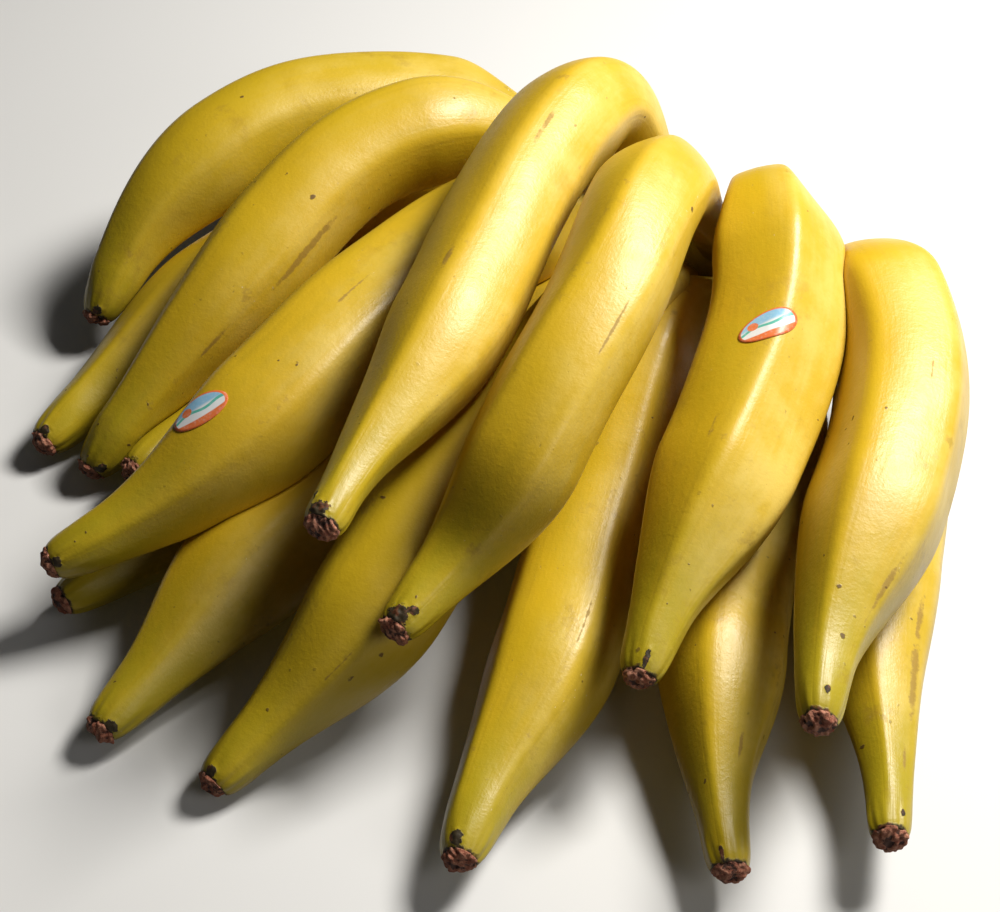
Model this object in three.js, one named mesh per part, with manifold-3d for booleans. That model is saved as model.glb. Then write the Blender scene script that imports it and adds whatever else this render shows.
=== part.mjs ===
// A bunch of fifteen cooking bananas, in two rows on one crown, lying on a flat surface.
// Millimetres, +Z up, the surface at z = 0. The crown is behind and the blossom ends point forward.
import * as THREE from 'three';
import { mergeVertices } from 'three/addons/utils/BufferGeometryUtils.js';
import Module from 'manifold-3d';

// Driving dimensions
const GIRTH = 50; // across the belly of a finger of ordinary fatness; the routes grow with it
const ROUTE_GIRTH = 50; // the girth that the routes are drawn for
const REACH = 318; // from the stalk's place on the crown to the tip of the longest finger, in plan
const ROUTE_REACH = 318; // the reach that the routes are drawn for
const NECK = 21; // across the bottleneck before the blossom end
const NECK_STRAIGHT = 12; // length of the bottleneck before it starts to swell
const NECK_FLARE = 85; // length over which the bottleneck swells into the belly
const STALK = 18; // across the stalk between the crown and the shoulder
const STALK_LENGTH = 14; // length of the stalk before the shoulder starts to swell
const SHOULDER = 48; // length over which the stalk swells into the belly
const RIDGE = 0.1; // how far the five ridges stand out from the faces, as a share of the radius
const TIP_TAPER = 22; // length over which the bottleneck narrows to its end
const SCAR = 13; // across the corky scar of the blossom end
const SCAR_RIM = 0.8; // width of the skin left around the scar
const SCAR_HEIGHT = 3.4; // rise of the scar's dome
const CROWN_DEPTH = 27; // crown, from front to back
const CROWN_HEIGHT = 42; // crown, from bottom to top
const CROWN_LEVEL = 49; // height of the crown's middle above the surface
const CROWN_SETBACK = 8; // how far the crown's middle lies behind the ends of the stalks
const ROW_APART = 25; // height between the stalks of the two rows
const FLAT = 1.2; // how far the fingers that lie on the surface flatten against it
const STICKER_LONG = 24;
const STICKER_WIDE = 12.5;
const STICKER_THICK = 0.4;
const CLEARANCE = 0.3; // gap left between two pieces that touch
const PRESSED_GAP = 1; // gap that two fingers are drawn with where they press on each other

// How finely the shapes are drawn
const SIDES = 15;
const RING_STEP = 12;
const SPINE_STEPS = 72;

const SKIN = { color: 0xd9c02c, roughness: 0.42, metalness: 0 };
const CORK = { color: 0x6b3a24, roughness: 0.9, metalness: 0 };
const WOOD = { color: 0x3d2c1a, roughness: 0.9, metalness: 0 };
const PAPER = { color: 0xe9743c, roughness: 0.5, metalness: 0 };

// The crown's curve in plan: its left end, the bend and its right end.
const CROWN_PLAN = [[26, 196], [58, 118], [152, 80]];

// Each finger: how fat it is against GIRTH, its bottleneck against NECK, the lengths over which it
// swells at both ends against NECK_FLARE and SHOULDER, how far its ridges are turned and how far they
// twist from end to end in degrees, and its route from the shoulder to the blossom end. The route
// starts at its place on the crown.
const UPPER_ROW = [
  {
    fat: 0.93, neck: 1.09, flare: 0.95, shoulder: 1, turn: 20, twist: 0,
    route: [[-5, 213, 53], [-43, 211, 63], [-84, 201, 67], [-116, 181, 65], [-154, 150, 46], [-173, 118, 18]],
  },
  {
    fat: 0.93, neck: 1.11, flare: 1.29, shoulder: 1.41, turn: 11, twist: 0,
    route: [[-9, 173, 84], [-56, 156, 82], [-83, 127, 72], [-110, 91, 55], [-138, 63, 34], [-166, 33, 11]],
  },
  {
    fat: 1.05, neck: 1.03, flare: 1.05, shoulder: 1, turn: 20, twist: 10,
    route: [[0, 114, 73], [-39, 75, 73], [-64, 41, 74], [-90, 4, 65], [-128, -26, 48], [-168, -44, 39]],
  },
  {
    fat: 0.91, neck: 0.78, flare: 1.17, shoulder: 1.63, turn: 13, twist: 15,
    route: [[50, 149, 120], [19, 112, 121], [-3, 53, 114], [-23, -8, 107], [-47, -49, 106], [-61, -87, 104]],
  },
  {
    fat: 0.84, neck: 0.95, flare: 0.81, shoulder: 1.69, turn: 26, twist: 50,
    route: [[61, 84, 134], [46, 19, 128], [21, -23, 114], [6, -51, 95], [-13, -65, 69], [-37, -98, 63]],
  },
  {
    fat: 1.02, neck: 0.94, flare: 0.93, shoulder: 1.3, turn: 28, twist: 35,
    route: [[102, 100, 113], [111, 43, 94], [96, -4, 79], [79, -44, 71], [61, -78, 63], [49, -112, 54]],
  },
  {
    fat: 1.01, neck: 0.92, flare: 1.06, shoulder: 0.8, turn: 37, twist: -28,
    route: [[142, 72, 91], [157, 24, 85], [147, -26, 78], [129, -71, 74], [113, -110, 70], [107, -145, 70]],
  },
];
const LOWER_ROW = [
  {
    fat: 0.92, neck: 1, flare: 1.1, shoulder: 1, turn: 0, twist: 5,
    route: [[-34, 195, 23], [-73, 181, 23], [-101, 153, 23], [-128, 123, 23], [-155, 87, 20], [-187, 47, 12]],
  },
  {
    fat: 0.7, neck: 1, flare: 1, shoulder: 1, turn: 25, twist: 0,
    route: [[-6, 162, 18], [-44, 147, 17], [-74, 121, 19], [-98, 89, 16], [-123, 53, 15], [-147, 24, 18]],
  },
  {
    fat: 0.96, neck: 0.94, flare: 1, shoulder: 1, turn: 10, twist: 6,
    route: [[-8, 122, 29], [-43, 93, 23], [-70, 60, 25], [-101, 24, 25], [-131, -13, 15], [-168, -39, 12]],
  },
  {
    fat: 1.03, neck: 0.99, flare: 0.95, shoulder: 1, turn: 35, twist: -6,
    route: [[17, 80, 35], [-22, 40, 34], [-58, 4, 30], [-97, -30, 25], [-121, -69, 17], [-146, -102, 12]],
  },
  {
    fat: 0.99, neck: 0.96, flare: 0.92, shoulder: 1, turn: 20, twist: 8,
    route: [[45, 64, 76], [12, 13, 67], [-27, -30, 59], [-44, -71, 43], [-75, -97, 23], [-103, -125, 10]],
  },
  {
    fat: 0.97, neck: 1.01, flare: 1.02, shoulder: 1.4, turn: 50, twist: -15,
    route: [[64, 73, 67], [45, 15, 37], [29, -39, 25], [17, -92, 23], [-4, -130, 21], [-14, -165, 20]],
  },
  {
    fat: 0.97, neck: 0.84, flare: 0.96, shoulder: 1, turn: 8, twist: 10,
    route: [[111, 46, 28], [100, -1, 23], [86, -46, 23], [81, -93, 24], [77, -130, 22], [79, -169, 19]],
  },
  {
    fat: 0.97, neck: 0.78, flare: 1.32, shoulder: 1, turn: 30, twist: -6,
    route: [[160, 45, 31], [152, 0, 25], [141, -48, 23], [137, -89, 24], [138, -126, 25], [134, -161, 27]],
  },
];

// The stickers: which finger, how far from its blossom end, how far round it, and how far tilted.
const STICKERS = [
  { name: 'sticker_left', finger: 'banana_03', along: 78, around: 250, tilt: 23 },
  { name: 'sticker_right', finger: 'banana_06', along: 142, around: 236, tilt: 54 },
];

const growth = GIRTH / ROUTE_GIRTH;
const stretch = growth * REACH / ROUTE_REACH;

const smooth = (x) => {
  const c = THREE.MathUtils.clamp(x, 0, 1);
  return c * c * (3 - 2 * c);
};

// The crown's curve, and the point on it where a stalk of a row starts.
const crownCurve = new THREE.QuadraticBezierCurve3(
  ...CROWN_PLAN.map(([x, y]) => new THREE.Vector3(x * growth, y * growth, 0)),
);

function stalkStart(index, count, level) {
  const point = crownCurve.getPoint((index + 0.4) / (count - 0.1));
  point.z = level;
  return point;
}

// A route point, moved away from the finger's place on the crown when the fingers reach further.
function routePoint(start, [x, y, z]) {
  const away = new THREE.Vector3(x * growth, y * growth, 0).sub(start).multiplyScalar(stretch / growth);
  return new THREE.Vector3(start.x + away.x, start.y + away.y, z * growth - FLAT);
}

// A smooth curve led by its points (a uniform cubic B-spline) that starts and ends on the end points.
class LedCurve extends THREE.Curve {
  constructor(points) {
    super();
    const first = points[0].clone().multiplyScalar(2).sub(points[1]);
    const last = points.at(-1).clone().multiplyScalar(2).sub(points.at(-2));
    this.points = [first, ...points, last];
  }

  getPoint(t, target = new THREE.Vector3()) {
    const spans = this.points.length - 3;
    const place = t * spans;
    const span = Math.min(Math.floor(place), spans - 1);
    const u = place - span;
    const weights = [
      (1 - u) ** 3,
      3 * u ** 3 - 6 * u ** 2 + 4,
      -3 * u ** 3 + 3 * u ** 2 + 3 * u + 1,
      u ** 3,
    ];
    target.set(0, 0, 0);
    weights.forEach((weight, k) => target.addScaledVector(this.points[span + k], weight / 6));
    return target;
  }
}

// A finger: its spine, the frame along it and the size of its section.
function makeFinger(name, shape, start) {
  const points = [start, ...shape.route.map((point) => routePoint(start, point))];
  const curve = new LedCurve(points);
  curve.arcLengthDivisions = 400;
  const plane = points[3].clone().sub(points[0]).cross(points[6].clone().sub(points[0])).normalize();
  const finger = { ...shape, name, curve, plane, length: curve.getLength() };
  finger.spine = [];
  for (let k = 0; k <= SPINE_STEPS; k += 1) {
    finger.spine.push(stationAt(finger, finger.length * k / SPINE_STEPS));
  }
  return finger;
}

// Radius of a finger at a distance from its blossom end.
function radiusAt(finger, fromTip) {
  const belly = finger.fat * GIRTH / 2;
  const neck = finger.neck * NECK / 2;
  const fromCrown = finger.length - fromTip;
  const body = neck + (belly - neck) * smooth((fromTip - NECK_STRAIGHT) / (finger.flare * NECK_FLARE));
  const shoulder = smooth((fromCrown - STALK_LENGTH) / (finger.shoulder * SHOULDER));
  const full = STALK / 2 + (body - STALK / 2) * shoulder;
  const rim = SCAR / 2 + SCAR_RIM;
  const taper = Math.sin(Math.PI / 2 * THREE.MathUtils.clamp(fromTip / TIP_TAPER, 0, 1));
  return rim + (full - rim) * taper;
}

// The spine's point, its directions and the radius at a distance from the blossom end.
function stationAt(finger, fromTip) {
  const u = THREE.MathUtils.clamp(1 - fromTip / finger.length, 0, 1);
  const centre = finger.curve.getPointAt(u);
  const along = finger.curve.getTangentAt(u);
  const side = finger.plane.clone().addScaledVector(along, -finger.plane.dot(along)).normalize();
  const up = side.clone().cross(along);
  return { centre, along, side, up, fromTip, radius: radiusAt(finger, fromTip) };
}

// The section: a pentagon with soft corners, the ridges. Each of its five faces sets how far the
// skin may go, and a high power blends the five; corner is 0 in a face's middle and 1 on a ridge.
const CORNER_POWER = 12;
const pentagon = (angle) => {
  let sum = 0;
  for (let k = 0; k < 5; k += 1) {
    sum += Math.max(0, Math.cos(angle - (k + 0.5) * 2 * Math.PI / 5)) ** CORNER_POWER;
  }
  return sum ** (-1 / CORNER_POWER);
};
const cornerHeight = pentagon(0) - pentagon(Math.PI / 5);

function sectionAt(finger, angle, fromTip) {
  const turn = finger.turn + finger.twist * (fromTip / finger.length - 0.5);
  const turned = angle - THREE.MathUtils.degToRad(turn);
  const corner = (pentagon(turned) - pentagon(Math.PI / 5)) / cornerHeight;
  return 1 + RIDGE * (corner - 0.35) + 0.15 * RIDGE * Math.cos(2 * turned + 1);
}

function skinPoint(finger, station, angle, lift = 0) {
  const radius = station.radius * sectionAt(finger, angle, station.fromTip) + lift;
  return station.centre.clone()
    .addScaledVector(station.side, radius * Math.cos(angle))
    .addScaledVector(station.up, radius * Math.sin(angle));
}

// How far a point lies outside a finger's unpressed skin.
function distanceOutside(finger, point) {
  let nearest = finger.spine[0];
  for (const station of finger.spine) {
    if (station.centre.distanceToSquared(point) < nearest.centre.distanceToSquared(point)) {
      nearest = station;
    }
  }
  const away = point.clone().sub(nearest.centre);
  const past = away.dot(nearest.along);
  away.addScaledVector(nearest.along, -past);
  const angle = Math.atan2(away.dot(nearest.up), away.dot(nearest.side));
  const beyondEnd = Math.max(0, Math.abs(past) - finger.length / SPINE_STEPS);
  return Math.hypot(away.length(), beyondEnd) - nearest.radius * sectionAt(finger, angle, nearest.fromTip);
}

// Fingers that press on each other both give way by half, and the surface stops them all.
function pressed(others, centre, point) {
  let push = 0;
  for (const other of others) {
    push = Math.max(push, (PRESSED_GAP - distanceOutside(other, point)) / 2);
  }
  const reach = point.clone().sub(centre);
  const length = reach.length();
  const kept = centre.clone().addScaledVector(reach, Math.max(0.2, (length - push) / length));
  kept.z = Math.max(kept.z, 0);
  return kept;
}

// A closed skin over rings of equal count, with a flat cap at each end.
function skinOver(rings) {
  const count = rings[0].length;
  const positions = [];
  const indices = [];
  rings.flat().forEach((p) => positions.push(p.x, p.y, p.z));
  for (let ring = 0; ring < rings.length - 1; ring += 1) {
    for (let k = 0; k < count; k += 1) {
      const next = (k + 1) % count;
      const a = ring * count + k;
      const b = ring * count + next;
      indices.push(a, b, a + count, b, b + count, a + count);
    }
  }
  const capEnds = [[rings[0], 0, false], [rings.at(-1), (rings.length - 1) * count, true]];
  for (const [ring, offset, far] of capEnds) {
    const middle = ring.reduce((sum, p) => sum.add(p), new THREE.Vector3()).divideScalar(count);
    const centre = positions.length / 3;
    positions.push(middle.x, middle.y, middle.z);
    for (let k = 0; k < count; k += 1) {
      const a = offset + k;
      const b = offset + (k + 1) % count;
      indices.push(centre, ...(far ? [a, b] : [b, a]));
    }
  }
  const geometry = new THREE.BufferGeometry();
  geometry.setAttribute('position', new THREE.Float32BufferAttribute(positions, 3));
  geometry.setIndex(indices);
  return geometry;
}

// A finger's solid, pressed by the others that it is given, and all round bigger by the lift.
function fingerGeometry(finger, others, lift = 0) {
  const near = others.filter((other) => other !== finger);
  const distances = [0, 0.2 * TIP_TAPER, 0.5 * TIP_TAPER, TIP_TAPER];
  const steps = Math.round((finger.length - TIP_TAPER) / RING_STEP);
  for (let k = 1; k <= steps; k += 1) {
    distances.push(TIP_TAPER + (finger.length - TIP_TAPER) * k / steps);
  }
  const lastRing = distances.length - 1;
  const rings = distances.map((fromTip, ring) => {
    const station = stationAt(finger, fromTip);
    const past = { 0: lift, [lastRing]: -lift }[ring] ?? 0;
    return Array.from({ length: SIDES }, (_, k) => {
      const turn = finger.turn + finger.twist * (fromTip / finger.length - 0.5);
      const angle = 2 * Math.PI * k / SIDES + THREE.MathUtils.degToRad(turn);
      const point = pressed(near, station.centre, skinPoint(finger, station, angle));
      const out = point.clone().sub(station.centre).setLength(lift);
      return point.add(out).addScaledVector(station.along, past);
    });
  });
  return skinOver(rings);
}

// The corky scar: a low dome a little off the flat end of its finger.
function scarGeometry(finger) {
  const tip = stationAt(finger, 0);
  const profile = [[0.86, 0], [1, 0.25], [0.8, 0.7], [0.4, 1]];
  const rings = profile.map(([across, height]) => {
    const rise = CLEARANCE + height * SCAR_HEIGHT;
    return Array.from({ length: 10 }, (_, k) => {
      const angle = 2 * Math.PI * k / 10;
      return tip.centre.clone()
        .addScaledVector(tip.along, rise)
        .addScaledVector(tip.side, -across * SCAR / 2 * Math.cos(angle))
        .addScaledVector(tip.up, across * SCAR / 2 * Math.sin(angle));
    });
  });
  return skinOver(rings);
}

// The crown: a thick curved pad behind the stalks, rounded at its ends.
function crownGeometry() {
  const rings = [];
  const steps = 14;
  for (let k = 0; k <= steps; k += 1) {
    const share = k / steps;
    const centre = crownCurve.getPoint(share);
    const along = crownCurve.getTangent(share);
    const back = new THREE.Vector3(-along.y, along.x, 0);
    const end = Math.abs(2 * share - 1) ** 6;
    const size = Math.sqrt(1 - 0.75 * end);
    rings.push(Array.from({ length: 14 }, (_, i) => {
      const angle = 2 * Math.PI * i / 14;
      const depth = Math.sign(Math.cos(angle)) * Math.abs(Math.cos(angle)) ** 0.8;
      const height = Math.sign(Math.sin(angle)) * Math.abs(Math.sin(angle)) ** 0.8;
      const point = centre.clone()
        .addScaledVector(back, CROWN_SETBACK + depth * size * CROWN_DEPTH / 2);
      point.z = CROWN_LEVEL + height * size * CROWN_HEIGHT / 2;
      return point;
    }));
  }
  return skinOver(rings);
}

const wasm = await Module();
wasm.setup();

function toSolid(geometry) {
  const merged = mergeVertices(geometry, 1e-4);
  return new wasm.Manifold(new wasm.Mesh({
    numProp: 3,
    vertProperties: new Float32Array(merged.attributes.position.array),
    triVerts: new Uint32Array(merged.index.array),
  }));
}

function fromSolid(solid) {
  const { vertProperties, triVerts } = solid.getMesh();
  const geometry = new THREE.BufferGeometry();
  geometry.setAttribute('position', new THREE.BufferAttribute(vertProperties, 3));
  geometry.setIndex(new THREE.BufferAttribute(triVerts, 1));
  return geometry;
}

const bunch = new THREE.Group();

function place(name, geometry, look) {
  const mesh = new THREE.Mesh(geometry, new THREE.MeshStandardMaterial(look));
  mesh.name = name;
  bunch.add(mesh);
}

// The upper row is counted from the left, and the lower row goes on from it.
const rows = [
  { shapes: UPPER_ROW, level: CROWN_LEVEL + ROW_APART / 2 },
  { shapes: LOWER_ROW, level: CROWN_LEVEL - ROW_APART / 2 },
];
const fingers = rows.flatMap(({ shapes, level }, row) => shapes.map((shape, k) => {
  const number = String(row * UPPER_ROW.length + k + 1).padStart(2, '0');
  return makeFinger(`banana_${number}`, shape, stalkStart(k, shapes.length, level));
}));

// Where the flat facets of two pressed fingers would still come closer than the clearance, the
// later finger is cut back from the earlier one. The crown is cut back from every finger.
const solids = fingers.map((finger) => toSolid(fingerGeometry(finger, fingers)));
const grown = fingers.map((finger) => toSolid(fingerGeometry(finger, fingers, CLEARANCE)));
let crown = toSolid(crownGeometry());
fingers.forEach((finger, k) => {
  for (let earlier = 0; earlier < k; earlier += 1) {
    if (solids[k].minGap(solids[earlier], CLEARANCE) < CLEARANCE) {
      solids[k] = solids[k].subtract(grown[earlier]);
    }
  }
  place(finger.name, fromSolid(solids[k]), SKIN);
  place(`${finger.name}_tip`, scarGeometry(finger), CORK);
  crown = crown.subtract(grown[k]);
});
place('crown', fromSolid(crown), WOOD);

// An oval sticker: a thin shell of its finger, a clearance off the skin, inside an oval prism that
// stands on the skin at the sticker's middle.
function stickerSolid(finger, sticker) {
  const station = stationAt(finger, sticker.along);
  const angle = THREE.MathUtils.degToRad(sticker.around);
  const out = skinPoint(finger, station, angle).sub(station.centre).normalize();
  const across = station.along.clone().cross(out).normalize();
  const tilt = THREE.MathUtils.degToRad(sticker.tilt);
  const long = station.along.clone().multiplyScalar(-Math.cos(tilt)).addScaledVector(across, -Math.sin(tilt));
  const wide = out.clone().cross(long);
  const rings = [0.6, 1.4].map((share) => Array.from({ length: 24 }, (_, k) => {
    const turn = 2 * Math.PI * k / 24;
    return station.centre.clone()
      .addScaledVector(out, station.radius * share)
      .addScaledVector(long, STICKER_LONG / 2 * Math.cos(turn))
      .addScaledVector(wide, STICKER_WIDE / 2 * Math.sin(turn));
  }));
  const outer = toSolid(fingerGeometry(finger, fingers, CLEARANCE + STICKER_THICK));
  return outer.subtract(grown[fingers.indexOf(finger)]).intersect(toSolid(skinOver(rings)));
}

for (const sticker of STICKERS) {
  const finger = fingers.find((one) => one.name === sticker.finger);
  place(sticker.name, fromSolid(stickerSolid(finger, sticker)), PAPER);
}

// The bunch stands over the origin.
const box = new THREE.Box3().setFromObject(bunch);
const middle = box.getCenter(new THREE.Vector3());
bunch.position.set(-middle.x, -middle.y, -box.min.z);

export default bunch;
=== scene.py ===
import math

import bpy
import numpy as np
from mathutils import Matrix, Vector


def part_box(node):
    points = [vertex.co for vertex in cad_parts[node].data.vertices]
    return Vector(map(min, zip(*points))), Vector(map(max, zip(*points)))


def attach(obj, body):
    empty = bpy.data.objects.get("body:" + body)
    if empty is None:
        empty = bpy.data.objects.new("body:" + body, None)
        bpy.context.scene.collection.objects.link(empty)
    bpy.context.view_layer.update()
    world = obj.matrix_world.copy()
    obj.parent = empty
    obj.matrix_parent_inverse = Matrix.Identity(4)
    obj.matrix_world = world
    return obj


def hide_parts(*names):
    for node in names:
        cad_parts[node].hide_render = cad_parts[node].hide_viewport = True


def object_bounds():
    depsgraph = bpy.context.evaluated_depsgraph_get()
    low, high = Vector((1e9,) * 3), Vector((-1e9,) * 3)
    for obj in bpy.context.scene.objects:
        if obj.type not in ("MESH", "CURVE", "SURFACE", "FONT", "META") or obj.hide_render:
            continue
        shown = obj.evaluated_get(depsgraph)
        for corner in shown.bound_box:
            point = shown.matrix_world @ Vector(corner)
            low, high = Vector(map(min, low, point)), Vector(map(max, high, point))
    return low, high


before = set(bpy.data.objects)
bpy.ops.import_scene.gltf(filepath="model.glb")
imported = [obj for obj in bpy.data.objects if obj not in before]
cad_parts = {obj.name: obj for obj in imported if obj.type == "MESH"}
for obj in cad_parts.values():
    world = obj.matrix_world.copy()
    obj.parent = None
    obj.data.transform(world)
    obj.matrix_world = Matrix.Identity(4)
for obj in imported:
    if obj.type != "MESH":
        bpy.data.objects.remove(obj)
cadLow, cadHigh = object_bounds()
mm = 0.001

# The same sizes as the solid model, in millimetres.
fingerSizes = {
    "girth": 50.0,
    "neck": 21.0,
    "neckStraight": 12.0,
    "neckFlare": 85.0,
    "stalk": 18.0,
    "stalkLength": 14.0,
    "shoulder": 48.0,
    "ridge": 0.10,
    "cornerPower": 12,
    "tipTaper": 22.0,
    "scar": 13.0,
    "scarRim": 0.8,
    "flat": 1.2,
    "contactGap": 0.2,
    "contactSoftness": 0.5,
    "floorSoftness": 0.3,
    "endRound": 0.17,
    "endDepth": 2.0,
    "rows": 190,
    "cup": [(2.6, 3.4), (1.4, 4.2), (0.5, 4.9), (0.0, 5.4), (-0.1, 5.8)],  # how deep and how wide
    "tipRows": 56,
    "sides": 116,
}

crownSizes = {
    "plan": [(26, 196), (58, 118), (152, 80)],
    "depth": 27.0,
    "height": 42.0,
    "level": 49.0,
    "setback": 8.0,
    "rowApart": 25.0,
    "steps": 200,
    "sides": 120,
}

# For each finger: fatness, bottleneck, its flare, the shoulder, turn and twist of the ridges in degrees,
# then how sharp the ridges are, and the route from shoulder to blossom end.
upperRow = [
    ((0.93, 1.09, 0.95, 1, 20, 0), 0.5,
     [(-5, 213, 53), (-43, 211, 63), (-84, 201, 67), (-116, 181, 65), (-154, 150, 46), (-173, 118, 18)]),
    ((0.93, 1.11, 1.29, 1.41, 11, 0), 0.7,
     [(-9, 173, 84), (-56, 156, 82), (-83, 127, 72), (-110, 91, 55), (-138, 63, 34), (-166, 33, 11)]),
    ((1.05, 1.03, 1.05, 1, 20, 10), 0.8,
     [(0, 114, 73), (-39, 75, 73), (-64, 41, 74), (-90, 4, 65), (-128, -26, 48), (-168, -44, 39)]),
    ((0.91, 0.78, 1.17, 1.63, 13, 15), 0.8,
     [(50, 149, 120), (19, 112, 121), (-3, 53, 114), (-23, -8, 107), (-47, -49, 106), (-61, -87, 104)]),
    ((0.84, 0.95, 0.81, 1.69, 26, 50), 0.9,
     [(61, 84, 134), (46, 19, 128), (21, -23, 114), (6, -51, 95), (-13, -65, 69), (-37, -98, 63)]),
    ((1.02, 0.94, 0.93, 1.3, 28, 35), 1.25,
     [(102, 100, 113), (111, 43, 94), (96, -4, 79), (79, -44, 71), (61, -78, 63), (49, -112, 54)]),
    ((1.01, 0.92, 1.06, 0.8, 37, -28), 1.1,
     [(142, 72, 91), (157, 24, 85), (147, -26, 78), (129, -71, 74), (113, -110, 70), (107, -145, 70)]),
]
lowerRow = [
    ((0.92, 1, 1.1, 1, 0, 5), 0.8,
     [(-34, 195, 23), (-73, 181, 23), (-101, 153, 23), (-128, 123, 23), (-155, 87, 20), (-187, 47, 12)]),
    ((0.7, 1, 1, 1, 25, 0), 0.8,
     [(-6, 162, 18), (-44, 147, 17), (-74, 121, 19), (-98, 89, 16), (-123, 53, 15), (-147, 24, 18)]),
    ((0.96, 0.94, 1, 1, 10, 6), 0.8,
     [(-8, 122, 29), (-43, 93, 23), (-70, 60, 25), (-101, 24, 25), (-131, -13, 15), (-168, -39, 12)]),
    ((1.03, 0.99, 0.95, 1, 35, -6), 0.8,
     [(17, 80, 35), (-22, 40, 34), (-58, 4, 30), (-97, -30, 25), (-121, -69, 17), (-146, -102, 12)]),
    ((0.99, 0.96, 0.92, 1, 20, 8), 0.8,
     [(45, 64, 76), (12, 13, 67), (-27, -30, 59), (-44, -71, 43), (-75, -97, 23), (-103, -125, 10)]),
    ((0.97, 1.01, 1.02, 1.4, 50, -15), 0.9,
     [(64, 73, 67), (45, 15, 37), (29, -39, 25), (17, -92, 23), (-4, -130, 21), (-14, -165, 20)]),
    ((0.97, 0.84, 0.96, 1, 8, 10), 0.8,
     [(111, 46, 28), (100, -1, 23), (86, -46, 23), (81, -93, 24), (77, -130, 22), (79, -169, 19)]),
    ((0.97, 0.78, 1.32, 1, 30, -6), 0.8,
     [(160, 45, 31), (152, 0, 25), (141, -48, 23), (137, -89, 24), (138, -126, 25), (134, -161, 27)]),
]


def smoothStep(x):
    # three x squared less two x cubed, between 0 and 1
    x = np.clip(x, 0, 1)
    return x * x * (3 - 2 * x)


def ledCurve(points, places):
    # a uniform cubic B-spline, with its end points mirrored so that it starts and ends on them
    points = np.vstack([2 * points[0] - points[1], points, 2 * points[-1] - points[-2]])
    spans = len(points) - 3
    span = np.minimum((places * spans).astype(int), spans - 1)
    u = (places * spans - span)[:, None]
    return (
        (1 - u) ** 3 * points[span]
        + (3 * u**3 - 6 * u**2 + 4) * points[span + 1]
        + (-3 * u**3 + 3 * u**2 + 3 * u + 1) * points[span + 2]
        + u**3 * points[span + 3]
    ) / 6


def crownPlace(share):
    # the crown's curve in plan is a quadratic Bezier curve
    share = np.asarray(share, float)[..., None]
    a, b, c = (np.array(p, float) for p in crownSizes["plan"])
    place = (1 - share) ** 2 * a + 2 * share * (1 - share) * b + share**2 * c
    heading = 2 * (1 - share) * (b - a) + 2 * share * (c - b)
    return place, heading / np.linalg.norm(heading, axis=-1, keepdims=True)


def pentagon(angle):
    # each of five faces sets how far the skin may go, and a high power blends the five
    power = fingerSizes["cornerPower"]
    faces = [np.maximum(0, np.cos(angle - (k + 0.5) * 2 * math.pi / 5)) ** power for k in range(5)]
    return np.sum(faces, axis=0) ** (-1 / power)


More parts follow.
